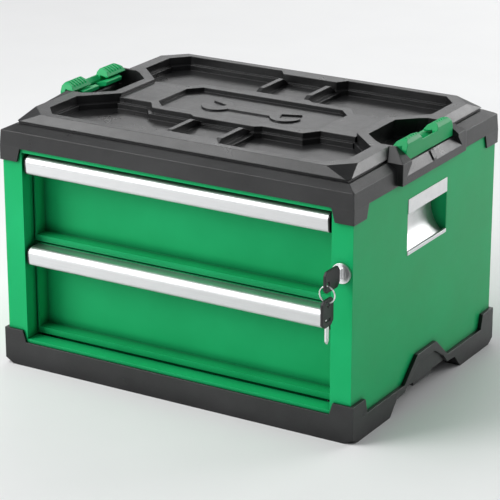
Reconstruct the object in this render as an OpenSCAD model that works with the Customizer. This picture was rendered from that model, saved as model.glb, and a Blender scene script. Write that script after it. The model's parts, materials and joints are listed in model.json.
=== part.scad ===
// Metal two-drawer tool box with a moulded stacking cover and base.
// X runs left to right, the drawers open towards -Y, Z is up.
// The origin is the centre of the base's resting face.

/* [Cabinet] */
// Width of the steel cabinet
body_w = 498; // [480:2:520]
// Depth of the steel cabinet
body_d = 378; // [370:2:400]
// Height of the cabinet's lower edge above the ground
body_z0 = 28; // [28:1:30]
// Height of the cabinet's upper edge above the ground
body_z1 = 300; // [300:1:304]
// Thickness of the steel sheet
sheet = 1.2; // [1:0.1:1.5]
// Width of each front column
column_w = 28.5; // [28:0.5:31]
// Height of the top of the drawer opening
opening_z1 = 286.5; // [286:0.5:288]
// Height of the top of the front sill
sill_z1 = 37.5; // [36:0.5:38.5]

/* [Cover] */
// Height of the cover's rim above the ground
cover_h = 334; // [332:1:340]
// Height of the skirt's lower edge
skirt_z0 = 292; // [291:1:294]
// Height of the skirt's top edge
skirt_z1 = 312.7; // [311:0.1:314]
// Height of the lower ends of the corner bumpers
bumper_z0 = 274.5; // [270:0.5:280]
// Depth of the trays below the rim
tray_depth = 18; // [15:1:18]
// Depth of the centre platform below the rim
platform_drop = 4; // [3:0.5:6]
// Depth of the badge panel below the platform
panel_depth = 5.5; // [3:0.5:7]

/* [Side latches] */
// Length of each latch
latch_len = 123; // [118:1:123]
// Radius of the hinge pin
latch_pin_r = 2; // [1.5:0.1:2.5]
// Distance of the hinge pin from the middle of the box
latch_pin_x = 243; // [242.5:0.1:243.5]
// Height of the hinge pin
latch_pin_z = 321; // [320.5:0.1:321.5]

/* [Base] */
// Width of the base tray
base_w = 508; // [506:1:512]
// Depth of the base tray
base_d = 384; // [384:1:390]
// Height of the base's side bands
band_h = 29; // [28:0.5:31]
// Height of the base's front band
front_band_h = 33; // [31:0.5:34]
// Height of the base's corner bumpers
base_bumper_h = 48.5; // [44:0.5:54]
// Height of the arch in each side of the base
arch_h = 58; // [54:1:64]

/* [Drawers] */
// Height of the lower edge of the upper drawer's front
upper_z0 = 165; // [165:0.5:166]
// Height of the lower edge of the lower drawer's front
lower_z0 = 40; // [39.5:0.5:41]
// Height of the upper drawer's front
upper_h = 118.5; // [117:0.5:119]
// Height of the lower drawer's front
lower_h = 123; // [121:0.5:123]
// How far each drawer front's face is recessed
dish_depth = 20; // [16:1:22]
// Height of a drawer's handle
handle_h = 24.5; // [22:0.5:27]
// Width of the drawer box between its runners
drawer_w = 410; // [408:1:411]
// Length of the runners
runner_len = 320; // [300:5:320]
// Height of the runners
runner_h = 36; // [34:1:38]

/* [Lock] */
// Distance of the lock from the middle of the box
lock_x = 234.5; // [234:0.1:235]
// Height of the lock
lock_z = 213.5; // [211:0.5:216]
// Radius of the lock's front flange
lock_flange_r = 12.5; // [11.5:0.1:13]
// Lift of the locking bar over a quarter turn of the key
bar_lift = 12; // [11:0.5:12]
// Length of a key's grip
key_grip_len = 34; // [30:1:36]
// Width of a key's grip
key_grip_w = 26; // [22:1:27]
// Radius of the key ring to the middle of its wire
ring_r = 10; // [9.5:0.1:11]

/* [Hand recesses] */
// Width of each hand recess
hand_w = 106; // [96:1:112]
// Height of the lower edge of each hand recess
hand_z0 = 195; // [193:1:198]
// Height of the upper edge of each hand recess
hand_z1 = 266; // [264:1:269]

/* [Hidden] */
$fn = 64;

steel_green = [0.13, 0.63, 0.37];
bright_green = [0.16, 0.74, 0.45];
black_plastic = [0.2, 0.2, 0.21];
dark_rubber = [0.1, 0.1, 0.1];
bare_alu = [0.9, 0.9, 0.91];
zinc = [0.7, 0.7, 0.72];

// Half sizes and planes of the cabinet
half_w = body_w / 2;
half_d = body_d / 2;
column_x = half_w - column_w;
inner_wall_x = column_x + sheet;
front_y = -half_d;
back_y = half_d;
panel_back_y = back_y - sheet;
deck_z1 = body_z1 + sheet;

// Cover: half sizes at the skirt's foot, the skirt's top, the ledge and the rim
foot_x = half_w + 2.3;
foot_y = half_d + 3.3;
arris_x = half_w + 1;
arris_y = half_d + 2;
ledge_z = skirt_z1 + 7.3;
ledge_x = arris_x - 16;
ledge_y = arris_y - 16;
rim_x = ledge_x - 5;
rim_y = ledge_y - 4;
rim_cut = 27;
groove_z0 = ledge_z - 0.6;
groove_z1 = ledge_z + 2;
corner_run = (arris_x + arris_y - rim_x - rim_y + rim_cut) / sqrt(2);
corner_tilt = atan((cover_h - skirt_z1 + 0.5) / corner_run);
fit_gap = 0.3;
tray_z = cover_h - tray_depth;
tray_step_z = tray_z + 7;
platform_z = cover_h - platform_drop;
panel_z = platform_z - panel_depth;
bay_z = tray_z + 5;
shell_t = 3;
bumper_edge_hi = column_x + 0.5;
bumper_edge_lo = column_x + 5.5;
bumper_side_hi = 155.5;
bumper_side_lo = 161;

// Latch frames on the cover's sides and the pockets behind the latches
frame_x = arris_x + 8;
frame_top_x = 238;
frame_foot_z = skirt_z0 + 1;
frame_half = 85;
frame_top_half = 66;
pocket_floor_z = 312;
pocket_half = latch_len / 2 + 1;
sill_half = pocket_half + 12;
sill_top_z = 316;
sill_low_z = 303;

// Drawer planes
dish_front_y = front_y + 22;
dish_back_y = dish_front_y + dish_depth;
dish_x = column_x - 3.3;
dish_flange = 2.4;
handle_y0 = front_y + 0.2;
handle_t = 1.8;
handle_x = column_x - 5.5;
cap_t = 2;
drawer_back_y = back_y - 14;
drawer_floor_gap = 3;
drawer_side_drop = 16;
runner_y0 = dish_back_y + 4;
runner_gap = 0.4;
upper_runner_z = upper_z0 + 35;
lower_runner_z = lower_z0 + 40;
mat_t = 2;

// Lock planes and the parts behind the column
lock_body_r = 9.5;
plug_r = 6.5;
cam_y0 = front_y + 17.5;
cam_t = 2;
bar_y0 = cam_y0 + 3.5;
bar_t = 2;
bar_x0 = lock_x + 2;
bar_x1 = lock_x + 12.5;
bar_z0 = 100;
bar_z1 = 276;
cam_reach = bar_lift / sqrt(2);
cam_pin_r = 1.5;
hook_y0 = runner_y0 + 5;
hook_x0 = 212;
hook_h = 10;
catch_y0 = hook_y0 + 5;
catch_rise = 12;
upper_hook_z = 228;
lower_hook_z = 108;
grip_t = 3;
key_y = front_y - 2.5;
grip_y0 = key_y - 5;
key_hole_r = 3.5;
key_hole_y = grip_y0 - key_grip_len + 7;
key_hole_z = lock_z - 3;
ring_wire_r = 0.9;
wire_slack = 0.15;
ring_top_z = key_hole_z - key_hole_r + ring_wire_r + wire_slack;
ring_z = ring_top_z - ring_r;
spare_pivot_z = ring_z - ring_r;
spare_hole_z = spare_pivot_z - key_hole_r + ring_wire_r + wire_slack;
spare_grip_z0 = spare_hole_z + 7 - key_grip_len;

// Screw and rivet positions
cover_screw_xy = [for (x = [-192, 0, 192]) for (y = [-122, 122]) [x, y]];
base_screw_xy = [for (x = [-200, 200]) for (y = [-150, 150]) [x, y]];
rivet_z = [60, 128, 196, 264];
rail_rivet_y = [-100, 20, 140];
screw_r = 2;
rivet_r = 1.6;

function reversed(v) = [for (i = [len(v) - 1:-1:0]) v[i]];

// Whole outline of a shape that is the same in all four quarters
function four_way(q) = concat(
    [for (p = q) [p[0], p[1]]],
    [for (p = reversed(q)) [p[0], -p[1]]],
    [for (p = q) [-p[0], -p[1]]],
    [for (p = reversed(q)) [-p[0], p[1]]]
);

// Profile that is the same on both sides of the vertical axis
function two_way(q) = concat(q, [for (p = reversed(q)) [-p[0], p[1]]]);

function unit(v) = v / norm(v);
function left_of(v) = [-v[1], v[0]];
function wrap(v, i) = v[(i + len(v)) % len(v)];

// Clockwise outline moved outwards by d, with mitred corners
function grown(pts, d) = [
    for (i = [0:len(pts) - 1])
        let (
            before = left_of(unit(pts[i] - wrap(pts, i - 1))),
            after = left_of(unit(wrap(pts, i + 1) - pts[i])),
            mitre = unit(before + after)
        )
        pts[i] + mitre * d / (mitre * before)
];

function arc(cx, cy, r, from, to, steps) = [
    for (i = [0:steps])
        let (a = from + (to - from) * i / steps)
        [cx + r * cos(a), cy + r * sin(a)]
];

module block(x, y, z) {
    translate([x[0], y[0], z[0]])
        cube([x[1] - x[0], y[1] - y[0], z[1] - z[0]]);
}

// Outline in Y and Z, drawn out along X
module along_x(pts, x0, x1) {
    translate([x0, 0, 0])
        rotate([90, 0, 90])
            linear_extrude(x1 - x0)
                polygon(pts);
}

// Outline in X and Z, drawn out along Y
module along_y(pts, y0, y1) {
    translate([0, y1, 0])
        rotate([90, 0, 0])
            linear_extrude(y1 - y0)
                polygon(pts);
}

// Outline in X and Y, drawn out along Z
module along_z(pts, z0, z1) {
    translate([0, 0, z0])
        linear_extrude(z1 - z0)
            polygon(pts);
}

module rod_x(r, x0, x1, y, z) {
    translate([x0, y, z])
        rotate([0, 90, 0])
            cylinder(r = r, h = x1 - x0);
}

module rod_y(r, y0, y1, x, z) {
    translate([x, y1, z])
        rotate([90, 0, 0])
            cylinder(r = r, h = y1 - y0);
}

module rod_z(r, z0, z1, x, y) {
    translate([x, y, z0])
        cylinder(r = r, h = z1 - z0);
}

module both_sides() {
    children();
    mirror([1, 0, 0]) children();
}

module front_and_back() {
    children();
    mirror([0, 1, 0]) children();
}

module four_corners() {
    both_sides() front_and_back() children();
}

// ---- Cover ----

rim_inner = four_way([[40, 148], [50, 161], [192, 161], [212, 138], [212, 80], [171, 39]]);
platform_outline = four_way([[44, 68], [52, 62], [109, 62], [123, 43], [171, 43]]);
panel_outline = four_way([[102, 50], [118, 33]]);
pocket_outline = [
    [184, 34], [205, 55], [216, pocket_half], [270, pocket_half],
    [270, -pocket_half], [216, -pocket_half], [205, -55], [184, -34]
];

// Outside of the cover: skirt, sloping ledge, a groove above it, and the slope up to the rim
function cover_profile(foot, arris, ledge, rim) = two_way([
    [foot, skirt_z0], [arris, skirt_z1], [ledge + 2.6, groove_z0 - 0.1],
    [ledge - 0.4, groove_z0], [ledge - 0.4, groove_z1],
    [ledge + 2, groove_z1 + 0.6], [rim, cover_h]
]);

module cover_outside() {
    intersection() {
        along_x(cover_profile(foot_y, arris_y, ledge_y, rim_y), -300, 300);
        along_y(cover_profile(foot_x, arris_x, ledge_x, rim_x), -300, 300);
    }
}

// Slanted facet from a cut corner of the rim down to the skirt's corner
module corner_facet() {
    translate([rim_x - rim_cut / 2, rim_y - rim_cut / 2, cover_h])
        rotate([0, 0, 45])
            rotate([0, corner_tilt, 0])
                translate([-60, -60, 0])
                    cube([160, 120, 60]);
}

module corner_bumper() {
    along_y([
        [bumper_edge_hi, skirt_z0 + 1], [foot_x, skirt_z0 + 1],
        [foot_x, bumper_z0], [bumper_edge_lo, bumper_z0]
    ], -foot_y, -half_d - fit_gap);
    along_x([
        [-foot_y, skirt_z0 + 1], [-bumper_side_hi, skirt_z0 + 1],
        [-bumper_side_lo, bumper_z0], [-foot_y, bumper_z0]
    ], half_w + fit_gap, foot_x);
}

module latch_frame() {
    intersection() {
        along_y([
            [220, frame_foot_z], [frame_x, frame_foot_z], [frame_x, ledge_z],
            [frame_top_x, cover_h], [220, cover_h]
        ], -100, 100);
        along_x(two_way([
            [frame_half, frame_foot_z], [frame_half, ledge_z], [frame_top_half, cover_h]
        ]), 200, 300);
    }
}

// Sloping sill in front of a latch, with a raised mark in the middle
module latch_sill() {
    inner_x = latch_pin_x + 7.6;
    along_y([
        [inner_x, pocket_floor_z], [inner_x, sill_top_z],
        [frame_x, sill_low_z], [frame_x, sill_low_z - 1], [inner_x, sill_low_z - 1]
    ], -sill_half, sill_half);
    along_y([
        [inner_x + 1, sill_top_z - 3], [inner_x + 2, sill_top_z],
        [frame_x, sill_low_z + 3], [frame_x, sill_low_z - 1]
    ], -4, 4);
}

// Room for a latch: the finger pocket and the slot that the latch turns in
module latch_pocket() {
    along_z(pocket_outline, pocket_floor_z, cover_h + 1);
    intersection() {
        along_y([
            [frame_x + 1, sill_low_z - 0.5], [frame_x + 1, cover_h + 1],
            [latch_pin_x, cover_h + 1], [latch_pin_x, pocket_floor_z],
            [latch_pin_x + 7.6, pocket_floor_z], [latch_pin_x + 7.6, sill_low_z - 0.5]
        ], -frame_half, frame_half);
        along_x(two_way([
            [sill_half, sill_low_z - 1], [pocket_half, sill_top_z], [pocket_half, cover_h + 2]
        ]), latch_pin_x - 1, frame_x + 2);
    }
}

module cover_rib() {
    along_x([
        [66, tray_z - 1], [66, tray_z + 7], [84, platform_z + 1.5],
        [134, platform_z + 1.5], [147, tray_z + 7], [147, tray_z - 1]
    ], 32, 38.5);
}

// Generic badge: an open-ended spanner in low relief
module spanner_badge(z0, z1) {
    difference() {
        union() {
            block([-45, 45], [-8, 8], [z0, z1]);
            both_sides() rod_z(21, z0, z1, 50, 0);
        }
        both_sides()
            translate([59, 4, z0 - 1])
                rotate([0, 0, 20])
                    cube([34, 17, 2 * (z1 - z0 + 1)], center = true);
    }
}

module cover_cavity() {
    block([-half_w - fit_gap, half_w + fit_gap], [-half_d - fit_gap, half_d + fit_gap],
        [skirt_z0 - 30, deck_z1]);
    block([-228, 228], [-168, 168], [deck_z1 - 1, pocket_floor_z - shell_t]);
    block([-178, 178], [-148, 148], [deck_z1 - 1, tray_z - shell_t]);
}

module top_cover() color(black_plastic)
difference() {
    union() {
        difference() {
            union() {
                cover_outside();
                both_sides() latch_frame();
            }
            four_corners() corner_facet();
            along_z(rim_inner, tray_step_z, cover_h + 1);
            along_z(grown(rim_inner, -5), tray_z, cover_h + 1);
            both_sides() latch_pocket();
            cover_cavity();
        }
        four_corners() corner_bumper();
        both_sides() latch_sill();
        difference() {
            union() {
                along_z(platform_outline, tray_z - 1, platform_z);
                along_z(grown(platform_outline, 5), tray_z - 1, tray_step_z);
            }
            along_z(panel_outline, panel_z, cover_h);
            both_sides() block([171, 184], [-60, 60], [tray_z - 2, cover_h]);
        }
        front_and_back() {
            block([-46, 46], [60, 150], [tray_z - 1, bay_z]);
            both_sides() cover_rib();
        }
        spanner_badge(panel_z - 1, panel_z + 2);
        for (p = cover_screw_xy) rod_z(6, deck_z1, tray_z - 1, p[0], p[1]);
    }
    for (p = cover_screw_xy) rod_z(screw_r, deck_z1 - 1, deck_z1 + 9.5, p[0], p[1]);
    both_sides() rod_y(latch_pin_r, -pocket_half - 4, pocket_half + 4, latch_pin_x, latch_pin_z);
}

// ---- Base ----

module base_bumper() {
    along_y([
        [bumper_edge_hi, front_band_h - 1], [base_w / 2, front_band_h - 1],
        [base_w / 2, base_bumper_h], [bumper_edge_lo, base_bumper_h]
    ], -base_d / 2, -half_d - fit_gap);
    along_x([
        [-base_d / 2, band_h - 1], [-bumper_side_hi, band_h - 1],
        [-bumper_side_lo, base_bumper_h], [-base_d / 2, base_bumper_h]
    ], half_w + fit_gap, base_w / 2);
}

arch_outer = two_way([[61, band_h - 1], [26, arch_h]]);
arch_low = two_way([[98, -1], [80, 18], [59, 19.5], [56, body_z0 - 6]]);
arch_recess = two_way([[59, 19], [48, 31], [22, arch_h - 11]]);
arch_web_x = half_w + 1.5;
wall_x = 232;

// Slanted facet across a bottom corner of the base
module foot_facet() {
    translate([base_w / 2 - 6, base_d / 2 - 6, 0])
        rotate([0, 0, 45])
            rotate([0, -40, 0])
                translate([-60, -60, -60])
                    cube([160, 120, 60]);
}

module base_tray() color(black_plastic)
difference() {
    union() {
        difference() {
            union() {
                block([-base_w / 2, base_w / 2], [-base_d / 2, base_d / 2], [0, band_h]);
                front_and_back()
                    block([-base_w / 2, base_w / 2], [-base_d / 2, -half_d - fit_gap],
                        [band_h - 1, front_band_h]);
                both_sides() along_x(arch_outer, half_w + fit_gap, base_w / 2);
            }
            block([-half_w - fit_gap, half_w + fit_gap],
                [-half_d - fit_gap, half_d + fit_gap], [body_z0, band_h + 1]);
            block([-wall_x, wall_x], [-base_d / 2 + 5, base_d / 2 - 5], [-1, body_z0 - 4]);
            both_sides() along_x(arch_low, wall_x - 5, 270);
            both_sides() along_x(arch_recess, arch_web_x, 270);
        }
        four_corners() base_bumper();
        both_sides() block([wall_x + 7, half_w - 1], [-25, 25], [15, body_z0 - 3]);
        block([-wall_x + 30, wall_x - 30], [-3, 3], [0, body_z0 - 3]);
        block([-3, 3], [-base_d / 2 + 4.5, base_d / 2 - 4.5], [0, body_z0 - 3]);
        for (p = base_screw_xy) rod_z(7, 8, body_z0 - 3, p[0], p[1]);
    }
    four_corners() foot_facet();
    for (p = base_screw_xy) rod_z(screw_r, 12, body_z0 + 1, p[0], p[1]);
}

// ---- Steel cabinet ----

// Bent sheet: outer wall, front column with its return, and rear flange
module side_sheet() {
    x1 = half_w;
    x0 = half_w - sheet;
    along_z([
        [x1, front_y], [x1, back_y], [x1 - 22, back_y], [x1 - 22, back_y - sheet],
        [x0, back_y - sheet], [x0, front_y + sheet], [column_x + sheet, front_y + sheet],
        [column_x + sheet, front_y + 15], [column_x, front_y + 15], [column_x, front_y]
    ], body_z0, body_z1);
}

module side_panel() {
    difference() {
        side_sheet();
        block([half_w - 10, half_w + 10], [-hand_w / 2, hand_w / 2], [hand_z0, hand_z1]);
        for (z = rivet_z) rod_y(rivet_r, back_y - 5, back_y + 5, half_w - 12, z);
    }
}

module left_side_panel() color(bright_green)
    mirror([1, 0, 0]) side_panel();

module right_side_panel() color(bright_green)
difference() {
    side_panel();
    rod_y(lock_body_r, front_y - 5, front_y + 5, lock_x, lock_z);
}

module back_panel() color(steel_green)
difference() {
    block([-half_w + sheet, half_w - sheet], [panel_back_y - sheet, panel_back_y],
        [body_z0, body_z1]);
    both_sides()
        for (z = rivet_z) rod_y(rivet_r, back_y - 5, back_y + 5, half_w - 12, z);
}

module top_deck() color(steel_green)
difference() {
    block([-half_w, half_w], [-half_d, half_d], [body_z1, deck_z1]);
    for (p = cover_screw_xy) rod_z(screw_r, body_z1 - 1, deck_z1 + 1, p[0], p[1]);
}

module bottom_deck() color(steel_green)
difference() {
    block([-half_w + sheet, half_w - sheet], [front_y + sheet, panel_back_y - sheet],
        [body_z0, body_z0 + sheet]);
    block([-column_x - sheet, -column_x], [front_y, front_y + 15], [body_z0 - 1, body_z0 + 2]);
    block([column_x, column_x + sheet], [front_y, front_y + 15], [body_z0 - 1, body_z0 + 2]);
    for (p = base_screw_xy) rod_z(screw_r, body_z0 - 1, body_z0 + 3, p[0], p[1]);
}

module front_header() color(bright_green)
along_x([
    [front_y, opening_z1], [front_y, body_z1], [front_y + sheet, body_z1],
    [front_y + sheet, opening_z1 + sheet], [front_y + 14, opening_z1 + sheet],
    [front_y + 14, opening_z1]
], -column_x, column_x);

module front_sill() color(bright_green)
along_x([
    [front_y, body_z0], [front_y, sill_z1], [front_y + 21, sill_z1],
    [front_y + 21, body_z0 + sheet], [front_y + 21 - sheet, body_z0 + sheet],
    [front_y + 21 - sheet, sill_z1 - sheet], [front_y + sheet, sill_z1 - sheet],
    [front_y + sheet, body_z0]
], -column_x, column_x);

// Sheet that carries the runners on one side of the drawers
module inner_wall() {
    difference() {
        block([inner_wall_x, inner_wall_x + sheet], [front_y + 4, panel_back_y - sheet],
            [body_z0 + sheet, body_z1]);
        for (y = rail_rivet_y)
            for (z = [upper_runner_z, lower_runner_z])
                rod_x(screw_r, inner_wall_x - 3, inner_wall_x + 3, y, z);
    }
}

module left_inner_wall() color(steel_green)
    mirror([1, 0, 0]) inner_wall();

module right_inner_wall() color(steel_green)
difference() {
    inner_wall();
    for (z = [upper_hook_z, lower_hook_z])
        block([inner_wall_x - 1, inner_wall_x + 3], [hook_y0 - 1.5, hook_y0 + bar_t + 1.5],
            [z - 1.5, z + hook_h + bar_lift + 1.5]);
}

// ---- Hand recesses ----

// Cross-section of the pressed metal scoop, with the grip lip above it
scoop_t = 1.4;
scoop_x = half_w - 22.5;
scoop_r = 46;

module scoop_outline(inset) {
    intersection() {
        translate([half_w + 24.5, (hand_z0 + hand_z1) / 2])
            circle(r = scoop_r + 1 - inset);
        translate([scoop_x, hand_z0 + inset])
            square([60, hand_z1 - hand_z0 - 2 * inset]);
    }
}

module scoop_section() {
    difference() {
        scoop_outline(0);
        scoop_outline(scoop_t);
        translate([half_w, hand_z0 - 1])
            square([80, hand_z1 - hand_z0 + 2]);
    }
    translate([half_w - 2, hand_z1 - 18])
        square([2.8, 18]);
    translate([half_w - 2, hand_z0])
        square([2.8, 4.5]);
}

module hand_scoop() {
    half = hand_w / 2 - 1.2;
    translate([0, half, 0])
        rotate([90, 0, 0])
            linear_extrude(2 * half)
                scoop_section();
}

module scoop_cheek() {
    translate([0, -hand_w / 2 + 1.2, 0])
        rotate([90, 0, 0])
            linear_extrude(1.2)
                intersection() {
                    scoop_outline(0);
                    translate([0, hand_z0])
                        square([half_w - 0.2, hand_z1 - hand_z0]);
                }
}

module left_hand_scoop() color(bare_alu)
    mirror([1, 0, 0]) hand_scoop();

module right_hand_scoop() color(bare_alu)
    hand_scoop();

module left_scoop_cheeks() color(steel_green)
    mirror([1, 0, 0]) front_and_back() scoop_cheek();

module right_scoop_cheeks() color(steel_green)
    front_and_back() scoop_cheek();

// ---- Side latches ----

latch_half = latch_len / 2;
latch_face_x = latch_pin_x + 7;
latch_foot_z = latch_pin_z - 4;
knuckle_r = 4.5;
lobe_top_z = cover_h + 8.5;
valley_z = cover_h - 0.5;
valley_half = 19;
spring_half = 7;

// Plate with two raised lobes and a valley between them
latch_front_outline = two_way([
    [latch_half, latch_foot_z], [latch_half, cover_h - 4], [latch_half - 4, lobe_top_z - 3],
    [latch_half - 9, lobe_top_z], [valley_half + 5, lobe_top_z],
    [valley_half + 1, valley_z + 1], [valley_half, valley_z]
]);

lobe_section = [
    [latch_face_x, latch_foot_z], [latch_face_x, cover_h + 3], [latch_face_x - 3, lobe_top_z - 1],
    [latch_face_x - 6, lobe_top_z], [latch_face_x - 15, lobe_top_z - 4],
    [latch_face_x - 19, cover_h - 1], [latch_face_x - 17, cover_h - 3],
    [latch_face_x - 7, cover_h], [latch_face_x - 6, cover_h - 8],
    [latch_face_x - 6, latch_foot_z]
];

module latch_lobe() {
    intersection() {
        along_y(lobe_section, -latch_half, latch_half);
        along_x(latch_front_outline, latch_face_x - 30, latch_face_x + 5);
    }
}

// Grip grooves across the top of a lobe
module lobe_grooves() {
    for (i = [0:4])
        along_y([
            [latch_face_x - 2, lobe_top_z + 2], [latch_face_x - 5, lobe_top_z - 1.6],
            [latch_face_x - 15, lobe_top_z - 6], [latch_face_x - 21, lobe_top_z - 8],
            [latch_face_x - 21, lobe_top_z + 2]
        ], 27 + 6 * i, 29.6 + 6 * i);
}

// Sloping floor of the valley between the lobes
module valley_slope() {
    along_y([
        [latch_face_x - 1.6, valley_z], [latch_face_x - 1.6, lobe_top_z + 1],
        [latch_face_x - 30, lobe_top_z + 1], [latch_face_x - 30, valley_z - 8],
        [latch_face_x - 9, valley_z - 8]
    ], -valley_half, valley_half);
}

module latch() {
    difference() {
        union() {
            difference() {
                latch_lobe();
                valley_slope();
                front_and_back() lobe_grooves();
            }
            rod_y(knuckle_r, -latch_half, latch_half, latch_pin_x, latch_pin_z);
            along_y([
                [latch_pin_x - 4, latch_pin_z], [latch_pin_x - 16, latch_pin_z + 3],
                [latch_pin_x - 17, latch_pin_z + 8], [latch_pin_x - 12, latch_pin_z + 9],
                [latch_pin_x + 3, latch_pin_z + 4]
            ], -44, 44);
        }
        rod_y(latch_pin_r + 0.05, -latch_half - 1, latch_half + 1, latch_pin_x, latch_pin_z);
        rod_y(knuckle_r + 0.6, -spring_half - 0.5, spring_half + 0.5, latch_pin_x, latch_pin_z);
        block([latch_pin_x - 20, latch_pin_x], [-9, 9], [latch_pin_z - 6, latch_pin_z + 12]);
    }
}

module left_latch() color(bright_green)
    mirror([1, 0, 0]) latch();

module right_latch() color(bright_green)
    latch();

module latch_pin() {
    rod_y(latch_pin_r, -pocket_half - 4, pocket_half + 4, latch_pin_x, latch_pin_z);
}

module left_latch_pin() color(zinc)
    mirror([1, 0, 0]) latch_pin();

module right_latch_pin() color(zinc)
    latch_pin();

// Tightly wound torsion spring: turns that touch side by side, with the fixed leg
module latch_spring() {
    wire = 0.6;
    turn_r = 3.2;
    pitch = 1.1;
    translate([latch_pin_x, 0, latch_pin_z])
        rotate([90, 0, 0])
            rotate_extrude()
                for (i = [-5:5])
                    translate([turn_r, i * pitch])
                        circle(r = wire, $fn = 24);
    rod_z(wire, pocket_floor_z, latch_pin_z - 1.5, latch_pin_x - turn_r, 0);
}

module left_latch_spring() color(zinc)
    mirror([1, 0, 0]) latch_spring();

module right_latch_spring() color(zinc)
    latch_spring();

// ---- Runners: three nested channels on each side of a drawer ----

module channel(x_web, x_tip, half_h, z, y0, y1) {
    web = x_tip < x_web ? [x_web - sheet, x_web] : [x_web, x_web + sheet];
    span = x_tip < x_web ? [x_tip, x_web] : [x_web, x_tip];
    block(web, [y0, y1], [z - half_h, z + half_h]);
    block(span, [y0, y1], [z + half_h - sheet, z + half_h]);
    block(span, [y0, y1], [z - half_h, z - half_h + sheet]);
}

runner_half = runner_h / 2;
runner_y1 = runner_y0 + runner_len;
middle_half = runner_half - sheet - runner_gap;
inner_half = middle_half - sheet - runner_gap;

module cabinet_rail(z) {
    difference() {
        channel(inner_wall_x, inner_wall_x - 10, runner_half, z, runner_y0, runner_y1);
        for (y = rail_rivet_y) rod_x(screw_r, inner_wall_x - 3, inner_wall_x + 3, y, z);
    }
}

module middle_runner(z) {
    web_x = inner_wall_x - sheet - runner_gap;
    channel(web_x, web_x - 11, middle_half, z, runner_y0, runner_y1);
}

module drawer_runner(z) {
    channel(drawer_w / 2, drawer_w / 2 + 12.5, inner_half, z, runner_y0, runner_y1);
}

module upper_left_rail() color(zinc)
    mirror([1, 0, 0]) cabinet_rail(upper_runner_z);

module upper_right_rail() color(zinc)
    cabinet_rail(upper_runner_z);

module lower_left_rail() color(zinc)
    mirror([1, 0, 0]) cabinet_rail(lower_runner_z);

module lower_right_rail() color(zinc)
    cabinet_rail(lower_runner_z);

module upper_middle_runners() color(zinc)
    both_sides() middle_runner(upper_runner_z);

module lower_middle_runners() color(zinc)
    both_sides() middle_runner(lower_runner_z);

module upper_drawer_runners() color(zinc)
    both_sides() drawer_runner(upper_runner_z);

module lower_drawer_runners() color(zinc)
    both_sides() drawer_runner(lower_runner_z);

// ---- Drawers ----

module drawer_pan(z0, h) {
    half = drawer_w / 2;
    floor_z = z0 + drawer_floor_gap;
    top_z = z0 + h - drawer_side_drop;
    y0 = dish_back_y + sheet;
    difference() {
        block([-half, half], [y0, drawer_back_y], [floor_z, top_z]);
        block([-half + sheet, half - sheet], [y0 + sheet, drawer_back_y - sheet],
            [floor_z + sheet, top_z + 1]);
    }
}

// Sheet front: a recessed panel with four walls and a narrow flange round them
module drawer_front(z0, h) {
    z1 = z0 + h;
    band = 8;
    difference() {
        block([-dish_x - dish_flange, dish_x + dish_flange], [dish_front_y, dish_back_y + sheet],
            [z0, z1]);
        block([-dish_x, dish_x], [dish_front_y - 1, dish_back_y], [z0 + band, z1 - sheet]);
        both_sides()
            block([dish_x + sheet, dish_x + 10], [dish_front_y + sheet, dish_back_y + 5],
                [z0 - 1, z1 + 1]);
        block([-dish_x, dish_x], [dish_front_y + sheet, dish_back_y],
            [z0 - 1, z0 + band - sheet]);
        for (x = handle_screw_x)
            rod_z(screw_r, z1 - 5, z1 + 5, x, dish_front_y + 9);
    }
}

handle_screw_x = [-180, -60, 60, 180];

// Aluminium pull: a rounded front with a lip for the fingers and a fixing web behind
function handle_outline(z1) = concat(
    [[dish_front_y + 18, z1], [handle_y0 + 9, z1]],
    arc(handle_y0 + 9, z1 - 9, 9, 90, 180, 8),
    [[handle_y0 + 0.8, z1 - handle_h + 6]],
    arc(handle_y0 + 6.3, z1 - handle_h + 5.5, 5.5, 180, 290, 6),
    arc(handle_y0 + 6.3, z1 - handle_h + 5.5, 5.5 - handle_t, 290, 180, 6),
    arc(handle_y0 + 9, z1 - 9, 9 - handle_t, 180, 90, 8),
    [[dish_front_y + 18, z1 - handle_t]]
);

module drawer_handle(z1) {
    difference() {
        along_x(handle_outline(z1), -handle_x, handle_x);
        for (x = handle_screw_x)
            rod_z(screw_r, z1 - 10, z1 + 5, x, dish_front_y + 9);
    }
}

// Closed plastic ends of the pull
module handle_caps(z1) {
    cap_outline = concat(
        [[dish_front_y - 0.2, z1], [handle_y0 + 9, z1]],
        arc(handle_y0 + 9, z1 - 9, 9, 90, 180, 8),
        [[handle_y0 + 0.8, z1 - handle_h + 6]],
        arc(handle_y0 + 6.3, z1 - handle_h + 5.5, 5.5, 180, 290, 6),
        [[dish_front_y - 0.2, z1 - handle_h + 8]]
    );
    both_sides() along_x(cap_outline, handle_x, handle_x + cap_t);
}

module handle_screws(z1) {
    for (x = handle_screw_x) {
        rod_z(screw_r, z1 - handle_t, z1 + sheet, x, dish_front_y + 9);
        rod_z(3.6, z1 - handle_t - 2, z1 - handle_t, x, dish_front_y + 9);
    }
}

module drawer_mat(z0) {
    half = drawer_w / 2 - sheet - 1;
    z = z0 + drawer_floor_gap + sheet;
    block([-half, half], [dish_back_y + 2 * sheet + 1, drawer_back_y - sheet - 1],
        [z, z + mat_t]);
}

// Angle on the drawer's right side that the locking bar's hook stands in front of
module drawer_catch(hook_z) {
    z = [hook_z + catch_rise, hook_z + catch_rise + 12];
    x = drawer_w / 2;
    block([x, x + sheet], [catch_y0, catch_y0 + 24], z);
    block([x, x + 13.5], [catch_y0, catch_y0 + 2], z);
}

upper_z1 = upper_z0 + upper_h;
lower_z1 = lower_z0 + lower_h;
upper_handle_z1 = upper_z1 - sheet;
lower_handle_z1 = lower_z1 - sheet;

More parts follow.
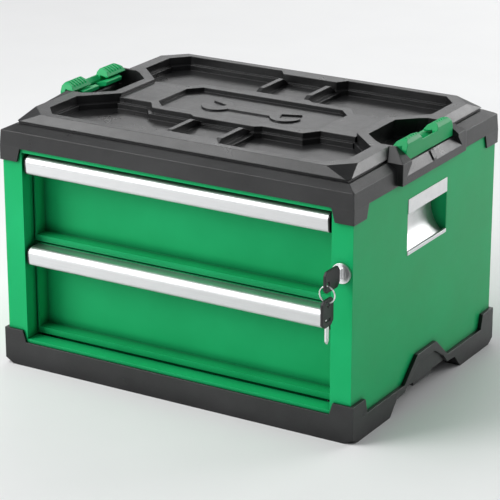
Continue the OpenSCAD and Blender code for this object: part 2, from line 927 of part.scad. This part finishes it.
module upper_drawer_pan() color(steel_green) drawer_pan(upper_z0, upper_h);
module lower_drawer_pan() color(steel_green) drawer_pan(lower_z0, lower_h);
module upper_drawer_front() color(steel_green) drawer_front(upper_z0, upper_h);
module lower_drawer_front() color(steel_green) drawer_front(lower_z0, lower_h);
module upper_handle() color(bare_alu) drawer_handle(upper_handle_z1);
module lower_handle() color(bare_alu) drawer_handle(lower_handle_z1);
module upper_handle_caps() color(dark_rubber) handle_caps(upper_handle_z1);
module lower_handle_caps() color(dark_rubber) handle_caps(lower_handle_z1);
module upper_handle_screws() color(zinc) handle_screws(upper_handle_z1);
module lower_handle_screws() color(zinc) handle_screws(lower_handle_z1);
module upper_drawer_mat() color(dark_rubber) drawer_mat(upper_z0);
module lower_drawer_mat() color(dark_rubber) drawer_mat(lower_z0);
module upper_drawer_catch() color(zinc) drawer_catch(upper_hook_z);
module lower_drawer_catch() color(zinc) drawer_catch(lower_hook_z);

// ---- Lock ----

module lock_housing() color(zinc)
difference() {
    union() {
        rod_y(lock_flange_r, front_y - 2.5, front_y, lock_x, lock_z);
        rod_y(lock_body_r, front_y, front_y + 15, lock_x, lock_z);
    }
    rod_y(plug_r + 0.05, front_y - 5, front_y + 20, lock_x, lock_z);
}

module lock_nut() color(zinc)
difference() {
    translate([lock_x, front_y + sheet + 4, lock_z])
        rotate([90, 30, 0])
            cylinder(r = 11 / cos(30), h = 4, $fn = 6);
    rod_y(lock_body_r, front_y, front_y + 10, lock_x, lock_z);
}

key_slot_h = 7.4;
key_blade_t = 2;

module lock_plug() color(zinc)
difference() {
    rod_y(plug_r, front_y - 3, cam_y0, lock_x, lock_z);
    block([lock_x - key_blade_t / 2, lock_x + key_blade_t / 2], [front_y - 5, front_y + 14],
        [lock_z - key_slot_h / 2, lock_z + key_slot_h / 2]);
    rod_y(1.5, cam_y0 - 3, cam_y0 + 1, lock_x, lock_z);
}

// Cam on the back of the plug; its pin lifts the locking bar
module lock_cam() color(zinc) {
    difference() {
        union() {
            rod_y(6, cam_y0, cam_y0 + cam_t, lock_x, lock_z);
            translate([lock_x, cam_y0 + cam_t, lock_z])
                rotate([90, 0, 0])
                    rotate([0, 0, -45])
                        linear_extrude(cam_t)
                            translate([0, -2.5])
                                square([cam_reach + 2, 5]);
        }
        rod_y(1.5, cam_y0 - 1, cam_y0 + 5, lock_x, lock_z);
    }
    rod_y(cam_pin_r, cam_y0 + cam_t, bar_y0 + bar_t + 0.5,
        lock_x + cam_reach * cos(45), lock_z - cam_reach * sin(45));
}

module cam_screw() color(zinc) {
    rod_y(3, cam_y0 + cam_t, cam_y0 + cam_t + 1, lock_x, lock_z);
    rod_y(1.5, cam_y0 - 3, cam_y0 + cam_t, lock_x, lock_z);
}

// Arm of the locking bar that reaches back and then inwards to a drawer's catch
module bar_hook(z) {
    block([bar_x0, bar_x0 + bar_t], [bar_y0, hook_y0 + bar_t], [z, z + hook_h]);
    block([hook_x0, bar_x0 + bar_t], [hook_y0, hook_y0 + bar_t], [z, z + hook_h]);
}

module lock_bar() color(zinc) {
    pin_x = lock_x + cam_reach * cos(45);
    pin_z = lock_z - cam_reach * sin(45);
    slot_half = cam_pin_r + 0.35;
    difference() {
        block([bar_x0, bar_x1], [bar_y0, bar_y0 + bar_t], [bar_z0, bar_z1]);
        block([pin_x - cam_pin_r - 0.4, lock_x + cam_reach + cam_pin_r + 0.4],
            [bar_y0 - 1, bar_y0 + bar_t + 1], [pin_z - slot_half, pin_z + slot_half]);
    }
    bar_hook(upper_hook_z);
    bar_hook(lower_hook_z);
}

module lock_bar_guides() color(dark_rubber)
for (z = [lower_hook_z + 42, bar_z1 - 12])
    difference() {
        block([bar_x0 - 3, half_w - sheet], [bar_y0 - 2.5, bar_y0 + bar_t + 2.5], [z - 6, z + 6]);
        block([bar_x0 - 0.1, bar_x1 + 0.1], [bar_y0 - 0.1, bar_y0 + bar_t + 0.1],
            [z - 7, z + 7]);
    }

// Key grip: a plate with clipped corners, its length along the first axis
function grip_points(len, w) = [
    [0, -w * 0.28], [5, -w / 2], [len - 4, -w / 2], [len, -w / 2 + 4],
    [len, w / 2 - 4], [len - 4, w / 2], [5, w / 2], [0, w * 0.28]
];

grip_x0 = lock_x - grip_t / 2;
grip_x1 = lock_x + grip_t / 2;

module key_grip() color(dark_rubber)
difference() {
    along_x([
        for (p = grip_points(key_grip_len, key_grip_w)) [grip_y0 - p[0], lock_z + p[1]]
    ], grip_x0, grip_x1);
    rod_x(key_hole_r, lock_x - 5, lock_x + 5, key_hole_y, key_hole_z);
}

module key_blade() color(zinc) {
    block([lock_x - key_blade_t / 2, lock_x + key_blade_t / 2], [grip_y0, front_y + 13],
        [lock_z - key_slot_h / 2, lock_z + key_slot_h / 2]);
    block([lock_x - key_blade_t / 2 - 0.5, lock_x + key_blade_t / 2 + 0.5],
        [grip_y0, key_y - 1], [lock_z - 6, lock_z + 6]);
}

module key_ring() color(bare_alu)
    translate([lock_x, key_hole_y, ring_z])
        rotate([90, 0, 0])
            rotate_extrude()
                translate([ring_r, 0])
                    circle(r = ring_wire_r, $fn = 24);

module spare_key_grip() color(dark_rubber)
difference() {
    along_x([
        for (p = grip_points(key_grip_len, key_grip_w)) [key_hole_y + p[1], spare_grip_z0 + p[0]]
    ], grip_x0, grip_x1);
    rod_x(key_hole_r, lock_x - 5, lock_x + 5, key_hole_y, spare_hole_z);
    block([lock_x - 5, lock_x + 5], [key_hole_y - 6, key_hole_y + 6],
        [spare_grip_z0 + 6, spare_grip_z0 + 10]);
}

module spare_key_blade() color(zinc)
    along_x([
        [key_hole_y - 3.5, spare_grip_z0], [key_hole_y + 3.5, spare_grip_z0],
        [key_hole_y + 3.5, spare_grip_z0 - 18], [key_hole_y, spare_grip_z0 - 22],
        [key_hole_y - 3.5, spare_grip_z0 - 18]
    ], lock_x - key_blade_t / 2, lock_x + key_blade_t / 2);

// ---- Fasteners ----

module cover_screws() color(zinc)
for (p = cover_screw_xy) {
    rod_z(4, body_z1 - 2, body_z1, p[0], p[1]);
    rod_z(screw_r, body_z1, deck_z1 + 9, p[0], p[1]);
}

module base_screws() color(zinc)
for (p = base_screw_xy) {
    rod_z(4, body_z0 + sheet, body_z0 + sheet + 2, p[0], p[1]);
    rod_z(screw_r, 13, body_z0 + sheet, p[0], p[1]);
}

module back_rivets() color(zinc)
both_sides()
    for (z = rivet_z) {
        rod_y(3, back_y, back_y + 1, half_w - 12, z);
        rod_y(rivet_r, panel_back_y - sheet, back_y, half_w - 12, z);
    }

module rail_rivets() color(zinc)
both_sides()
    for (y = rail_rivet_y)
        for (z = [upper_runner_z, lower_runner_z]) {
            rod_x(3.5, inner_wall_x + sheet, inner_wall_x + sheet + 1, y, z);
            rod_x(screw_r, inner_wall_x - sheet, inner_wall_x + sheet, y, z);
        }

top_cover();
base_tray();
left_side_panel();
right_side_panel();
back_panel();
top_deck();
bottom_deck();
front_header();
front_sill();
left_inner_wall();
right_inner_wall();
left_hand_scoop();
right_hand_scoop();
left_scoop_cheeks();
right_scoop_cheeks();
left_latch_pin();
right_latch_pin();
left_latch_spring();
right_latch_spring();
upper_left_rail();
upper_right_rail();
lower_left_rail();
lower_right_rail();
lock_housing();
lock_nut();
lock_bar_guides();
cover_screws();
base_screws();
back_rivets();
rail_rivets();
upper_drawer_pan();
upper_drawer_front();
upper_handle();
upper_handle_caps();
upper_drawer_mat();
upper_drawer_runners();
upper_drawer_catch();
upper_handle_screws();
lower_drawer_pan();
lower_drawer_front();
lower_handle();
lower_handle_caps();
lower_drawer_mat();
lower_drawer_runners();
lower_drawer_catch();
lower_handle_screws();
upper_middle_runners();
lower_middle_runners();
lock_plug();
lock_cam();
cam_screw();
key_grip();
key_blade();
lock_bar();
key_ring();
spare_key_grip();
spare_key_blade();
left_latch();
right_latch();
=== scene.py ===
import json
import math

import bpy
import bmesh
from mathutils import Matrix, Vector

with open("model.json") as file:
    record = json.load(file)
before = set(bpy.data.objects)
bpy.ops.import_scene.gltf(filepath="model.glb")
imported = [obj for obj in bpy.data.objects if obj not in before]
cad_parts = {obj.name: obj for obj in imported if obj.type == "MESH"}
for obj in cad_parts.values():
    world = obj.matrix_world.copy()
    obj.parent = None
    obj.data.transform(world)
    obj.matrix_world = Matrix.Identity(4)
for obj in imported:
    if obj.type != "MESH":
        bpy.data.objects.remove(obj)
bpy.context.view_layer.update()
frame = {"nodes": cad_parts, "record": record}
NODES = frame["nodes"]


# ---------------------------------------------------------------- materials

# Colour sockets of a Mix node set to RGBA
MIX_A, MIX_B, MIX_RESULT = 6, 7, 2


class Mat:
    """A node material under construction: a Principled shader and the helpers that feed it."""

    def __init__(self, name):
        self.m = bpy.data.materials.new(name)
        self.m.use_nodes = True
        self.t = self.m.node_tree
        self.bsdf = self.t.nodes["Principled BSDF"]
        self.coord = self.t.nodes.new("ShaderNodeTexCoord").outputs["Object"]

    def link(self, a, b):
        self.t.links.new(a, b)

    def mapped(self, scale):
        """Object coordinates stretched by a scale for each axis."""
        n = self.t.nodes.new("ShaderNodeMapping")
        n.inputs["Scale"].default_value = scale
        self.link(self.coord, n.inputs["Vector"])
        return n.outputs["Vector"]

    def noise(self, scale, detail=4.0, rough=0.6, vector=None):
        """Cloudy noise from 0 to 1."""
        n = self.t.nodes.new("ShaderNodeTexNoise")
        n.inputs["Scale"].default_value = scale
        n.inputs["Detail"].default_value = detail
        n.inputs["Roughness"].default_value = rough
        self.link(vector or self.coord, n.inputs["Vector"])
        return n.outputs["Fac"]

    def cells(self, scale):
        """Distance to the nearest of many scattered points."""
        n = self.t.nodes.new("ShaderNodeTexVoronoi")
        n.inputs["Scale"].default_value = scale
        self.link(self.coord, n.inputs["Vector"])
        return n.outputs["Distance"]

    def ramp(self, fac, stops):
        """Colour picked along (position, colour) stops."""
        n = self.t.nodes.new("ShaderNodeValToRGB")
        r = n.color_ramp
        while len(r.elements) < len(stops):
            r.elements.new(0.5)
        for e, (p, c) in zip(r.elements, stops):
            e.position = p
            e.color = (*c, 1)
        self.link(fac, n.inputs["Fac"])
        return n.outputs["Color"]

    def span(self, fac, lo, hi, out_lo, out_hi):
        """A value carried from one range to another, held at both ends."""
        n = self.t.nodes.new("ShaderNodeMapRange")
        n.inputs["From Min"].default_value = lo
        n.inputs["From Max"].default_value = hi
        n.inputs["To Min"].default_value = out_lo
        n.inputs["To Max"].default_value = out_hi
        self.link(fac, n.inputs["Value"])
        return n.outputs["Result"]

    def mix(self, fac, a, b):
        """Colour a at 0 and colour b at 1; each is a tuple or another node's output."""
        n = self.t.nodes.new("ShaderNodeMix")
        n.data_type = "RGBA"
        self.link(fac, n.inputs["Factor"])
        for socket, v in ((n.inputs[MIX_A], a), (n.inputs[MIX_B], b)):
            if isinstance(v, tuple):
                socket.default_value = (*v, 1)
            else:
                self.link(v, socket)
        return n.outputs[MIX_RESULT]

    def add(self, a, b, weight=1.0):
        """a + weight * b."""
        n = self.t.nodes.new("ShaderNodeMath")
        n.operation = "MULTIPLY_ADD"
        self.link(b, n.inputs[0])
        n.inputs[1].default_value = weight
        self.link(a, n.inputs[2])
        return n.outputs["Value"]

    def bump(self, height, distance, strength=1.0, radius=0.0005):
        """Surface relief over edges softened to the given radius in metres."""
        edge = self.t.nodes.new("ShaderNodeBevel")
        edge.samples = 6
        edge.inputs["Radius"].default_value = radius
        n = self.t.nodes.new("ShaderNodeBump")
        n.inputs["Strength"].default_value = strength
        n.inputs["Distance"].default_value = distance
        self.link(height, n.inputs["Height"])
        self.link(edge.outputs["Normal"], n.inputs["Normal"])
        self.link(n.outputs["Normal"], self.bsdf.inputs["Normal"])

    def open_sky(self, reach):
        """0 deep in a crevice and 1 on an open face, looking out to the given reach in metres."""
        n = self.t.nodes.new("ShaderNodeAmbientOcclusion")
        n.samples = 6
        n.inputs["Distance"].default_value = reach
        return self.span(n.outputs["AO"], 0.3, 0.95, 0.0, 1.0)

    def set(self, **values):
        """Constant shader values, by short name."""
        names = {"metal": "Metallic", "rough": "Roughness", "spec": "Specular IOR Level",
                 "tint": "Specular Tint"}
        for k, v in values.items():
            self.bsdf.inputs[names[k]].default_value = (*v, 1) if isinstance(v, tuple) else v


def paint(name, dark, light, gloss=0.33):
    """Powder-coated steel: orange peel, slight colour drift and fine scuffs, with painted shade darkening its
    crevices.
    """
    a = Mat(name)
    drift = a.noise(9.0, 3.0)
    color = a.ramp(drift, [(0.3, dark), (0.7, light)])
    specks = a.cells(900.0)
    speck = a.span(specks, 0.0, 0.16, 1.0, 0.0)
    flecked = a.mix(speck, color, tuple(c * 0.93 for c in dark))
    # Painted shade: the base colour falls to a third of the dark tone in crevices and recesses, where the
    # occlusion finds nearby surfaces.
    a.link(a.mix(a.open_sky(0.014), tuple(c * 0.3 for c in dark), flecked), a.bsdf.inputs["Base Color"])
    scuff = a.noise(1.0, 5.0, 0.7, a.mapped((40.0, 40.0, 190.0)))
    a.link(a.span(a.add(drift, scuff, 0.8), 0.5, 1.3, gloss - 0.05, gloss + 0.08), a.bsdf.inputs["Roughness"])
    peel = a.add(a.noise(520.0, 2.0, 0.4), a.noise(1500.0, 1.0, 0.5), 0.25)
    a.bump(peel, 0.00006, 0.9)
    a.set(spec=0.22, tint=(0.4, 1.0, 0.65))
    return a.m


def plastic(name, dark, light, gloss=0.42, grain=1300.0, depth=0.00007, spec=0.5):
    """Moulded plastic: a fine spark-eroded grain over a slight unevenness in tone, with painted shade dimming its
    reflections in crevices.
    """
    a = Mat(name)
    drift = a.noise(14.0, 4.0)
    fine = a.noise(grain, 3.0, 0.65)
    a.link(a.ramp(a.add(drift, fine, 0.35), [(0.45, dark), (0.95, light)]), a.bsdf.inputs["Base Color"])
    a.link(a.span(a.add(drift, a.noise(90.0, 4.0), 0.6), 0.5, 1.1, gloss - 0.06, gloss + 0.09),
           a.bsdf.inputs["Roughness"])
    a.bump(a.add(fine, a.cells(grain * 0.6), 0.5), depth, 0.8, 0.0013)
    # Painted shade: the specular level drops to three tenths in crevices and recesses, dimming reflections there.
    a.link(a.span(a.open_sky(0.03), 0.0, 1.0, spec * 0.3, spec), a.bsdf.inputs["Specular IOR Level"])
    return a.m


def brushed(name, color, along=0, gloss=0.34, line=1400.0):
    """Brushed or drawn metal, its fine lines along one axis."""
    a = Mat(name)
    scale = [line] * 3
    scale[along] = 7.0
    lines = a.noise(1.0, 5.0, 0.7, a.mapped(tuple(scale)))
    cloud = a.noise(22.0, 4.0)
    a.link(a.ramp(a.add(lines, cloud, 0.4), [(0.4, tuple(c * 0.86 for c in color)), (0.95, color)]),
           a.bsdf.inputs["Base Color"])
    a.link(a.span(a.add(lines, cloud, 0.5), 0.4, 1.1, gloss - 0.07, gloss + 0.12), a.bsdf.inputs["Roughness"])
    a.bump(lines, 0.00003, 0.5)
    a.set(metal=1.0)
    return a.m


def plated(name, color, gloss=0.18):
    """Zinc or chrome plating: nearly smooth, with a faint cloudiness and small pits."""
    a = Mat(name)
    cloud = a.noise(60.0, 5.0, 0.65)
    a.link(a.ramp(cloud, [(0.3, tuple(c * 0.88 for c in color)), (0.75, color)]), a.bsdf.inputs["Base Color"])
    a.link(a.span(a.add(cloud, a.noise(600.0, 3.0), 0.5), 0.4, 1.1, gloss - 0.05, gloss + 0.12),
           a.bsdf.inputs["Roughness"])
    a.bump(a.noise(800.0, 3.0), 0.00002, 0.4)
    a.set(metal=1.0)
    return a.m


def ribbed_mat(name):
    """Rubber mat with fine ribs along the drawer's depth."""
    a = Mat(name)
    w = a.t.nodes.new("ShaderNodeTexWave")
    w.inputs["Scale"].default_value = 60.0
    a.link(a.coord, w.inputs["Vector"])
    drift = a.noise(30.0, 4.0)
    a.link(a.ramp(drift, [(0.3, (0.012, 0.012, 0.013)), (0.8, (0.03, 0.03, 0.031))]), a.bsdf.inputs["Base Color"])
    a.link(a.span(drift, 0.2, 0.8, 0.6, 0.8), a.bsdf.inputs["Roughness"])
    a.bump(a.add(w.outputs["Fac"], a.noise(900.0), 0.3), 0.0006, 0.7)
    return a.m


GREEN = paint("green_paint", (0.008, 0.40, 0.125), (0.012, 0.46, 0.155))
# Painted shade: a darker copy of the same green paint, for the drawer fronts and scoop cheeks.
GREEN_FRONT_SHADED = paint("green_paint_shaded_front", (0.007, 0.36, 0.115), (0.011, 0.42, 0.14), 0.36)
LATCH = plastic("green_plastic", (0.007, 0.37, 0.115), (0.016, 0.46, 0.15), 0.4, 1100.0, 0.00006, spec=0.26)
BLACK = plastic("black_plastic", (0.005, 0.0051, 0.0054), (0.022, 0.0223, 0.023), 0.31, 800.0, 0.00016, spec=0.52)
TRIM = plastic("black_trim", (0.006, 0.006, 0.0065), (0.016, 0.016, 0.017), 0.42, 900.0)
ALU = brushed("aluminium", (0.76, 0.765, 0.77), 0, 0.38)
CHROME = plated("chrome", (0.93, 0.935, 0.94), 0.28)
ZINC = plated("zinc", (0.62, 0.63, 0.64), 0.30)
NICKEL = plated("nickel", (0.84, 0.845, 0.85), 0.40)
MAT = ribbed_mat("mat_rubber")

FINISH = {
    "green_paint": GREEN, "green_plastic": LATCH, "black_plastic": BLACK, "black_trim": TRIM,
    "mat_rubber": MAT, "aluminium": ALU, "chrome": CHROME, "zinc": ZINC,
}
SLOT = {s["node"]: s["material_slot"] for s in frame["record"]["subparts"]}

# ---------------------------------------------------------------- carried-over nodes

for name, o in NODES.items():
    material = FINISH[SLOT[name]]
    # The drawer fronts and scoop cheeks get the darker painted-shade copy of the green paint.
    if name.endswith("drawer_front") or name.endswith("scoop_cheeks"):
        material = GREEN_FRONT_SHADED
    if name.endswith("hand_scoop"):
        material = NICKEL
    o.data.materials.clear()
    o.data.materials.append(material)

# ---------------------------------------------------------------- floor, light, camera

def slab():
    """Plain pale floor under the box."""
    me = bpy.data.meshes.new("floor")
    bm = bmesh.new()
    bmesh.ops.create_grid(bm, x_segments=2, y_segments=2, size=9.0)
    bm.to_mesh(me)
    bm.free()
    o = bpy.data.objects.new("floor", me)
    bpy.context.scene.collection.objects.link(o)
    a = Mat("pale_floor")
    cloud = a.noise(3.0, 3.0)
    a.link(a.ramp(cloud, [(0.3, (0.86, 0.86, 0.86)), (0.7, (0.89, 0.89, 0.89))]), a.bsdf.inputs["Base Color"])
    a.set(rough=0.6)
    me.materials.append(a.m)
    return o


slab()

# Point that the lights face unless they say otherwise
BOX_MIDDLE = (0, 0, 0.17)


def area(name, size, power, position, target=BOX_MIDDLE):
    """White rectangular light: sides in metres, power in watts, aimed at a point."""
    d = bpy.data.lights.new(name, "AREA")
    d.shape = "RECTANGLE"
    d.size, d.size_y = size
    d.energy = power
    o = bpy.data.objects.new(name, d)
    bpy.context.scene.collection.objects.link(o)
    o.location = position
    o.rotation_euler = (Vector(target) - Vector(position)).to_track_quat("-Z", "Y").to_euler()
    return o


area("key", (1.6, 1.3), 48, (-1.85, -1.95, 1.4))
area("top", (2.0, 1.8), 34, (-1.1, -0.8, 2.4))
area("back_right", (1.9, 0.9), 36, (1.5, 2.6, 1.2))
area("back", (1.9, 1.0), 3, (-0.9, 2.6, 1.3))
area("backdrop", (4.5, 2.5), 88, (-1.8, 4.6, 2.8), (-1.8, 4.6, 0))

world = bpy.data.worlds.new("studio")
world.use_nodes = True
background = world.node_tree.nodes["Background"]
background.inputs["Color"].default_value = (0.96, 0.98, 1.0, 1)
background.inputs["Strength"].default_value = 0.29
bpy.context.scene.world = world
bpy.context.scene.view_settings.view_transform = "Standard"

# Camera: angle round from the front, angle above level, distance in metres and the point it faces
AZIMUTH, ELEVATION, DISTANCE = math.radians(30.93), math.radians(19.71), 2.95088
AIM = Vector((-0.00263, 0.0, 0.14013))
LENS_MM, SENSOR_MM = 165.43, 36.0
to_camera = Vector((
    math.sin(AZIMUTH) * math.cos(ELEVATION), -math.cos(AZIMUTH) * math.cos(ELEVATION), math.sin(ELEVATION),
))
cam = bpy.data.objects.new("camera", bpy.data.cameras.new("camera"))
bpy.context.scene.collection.objects.link(cam)
cam.data.lens = LENS_MM
cam.data.sensor_width = SENSOR_MM
cam.location = AIM + to_camera * DISTANCE
cam.rotation_euler = (-to_camera).to_track_quat("-Z", "Y").to_euler()
cam.data.clip_start, cam.data.clip_end = 0.1, 60.0
bpy.context.scene.camera = cam
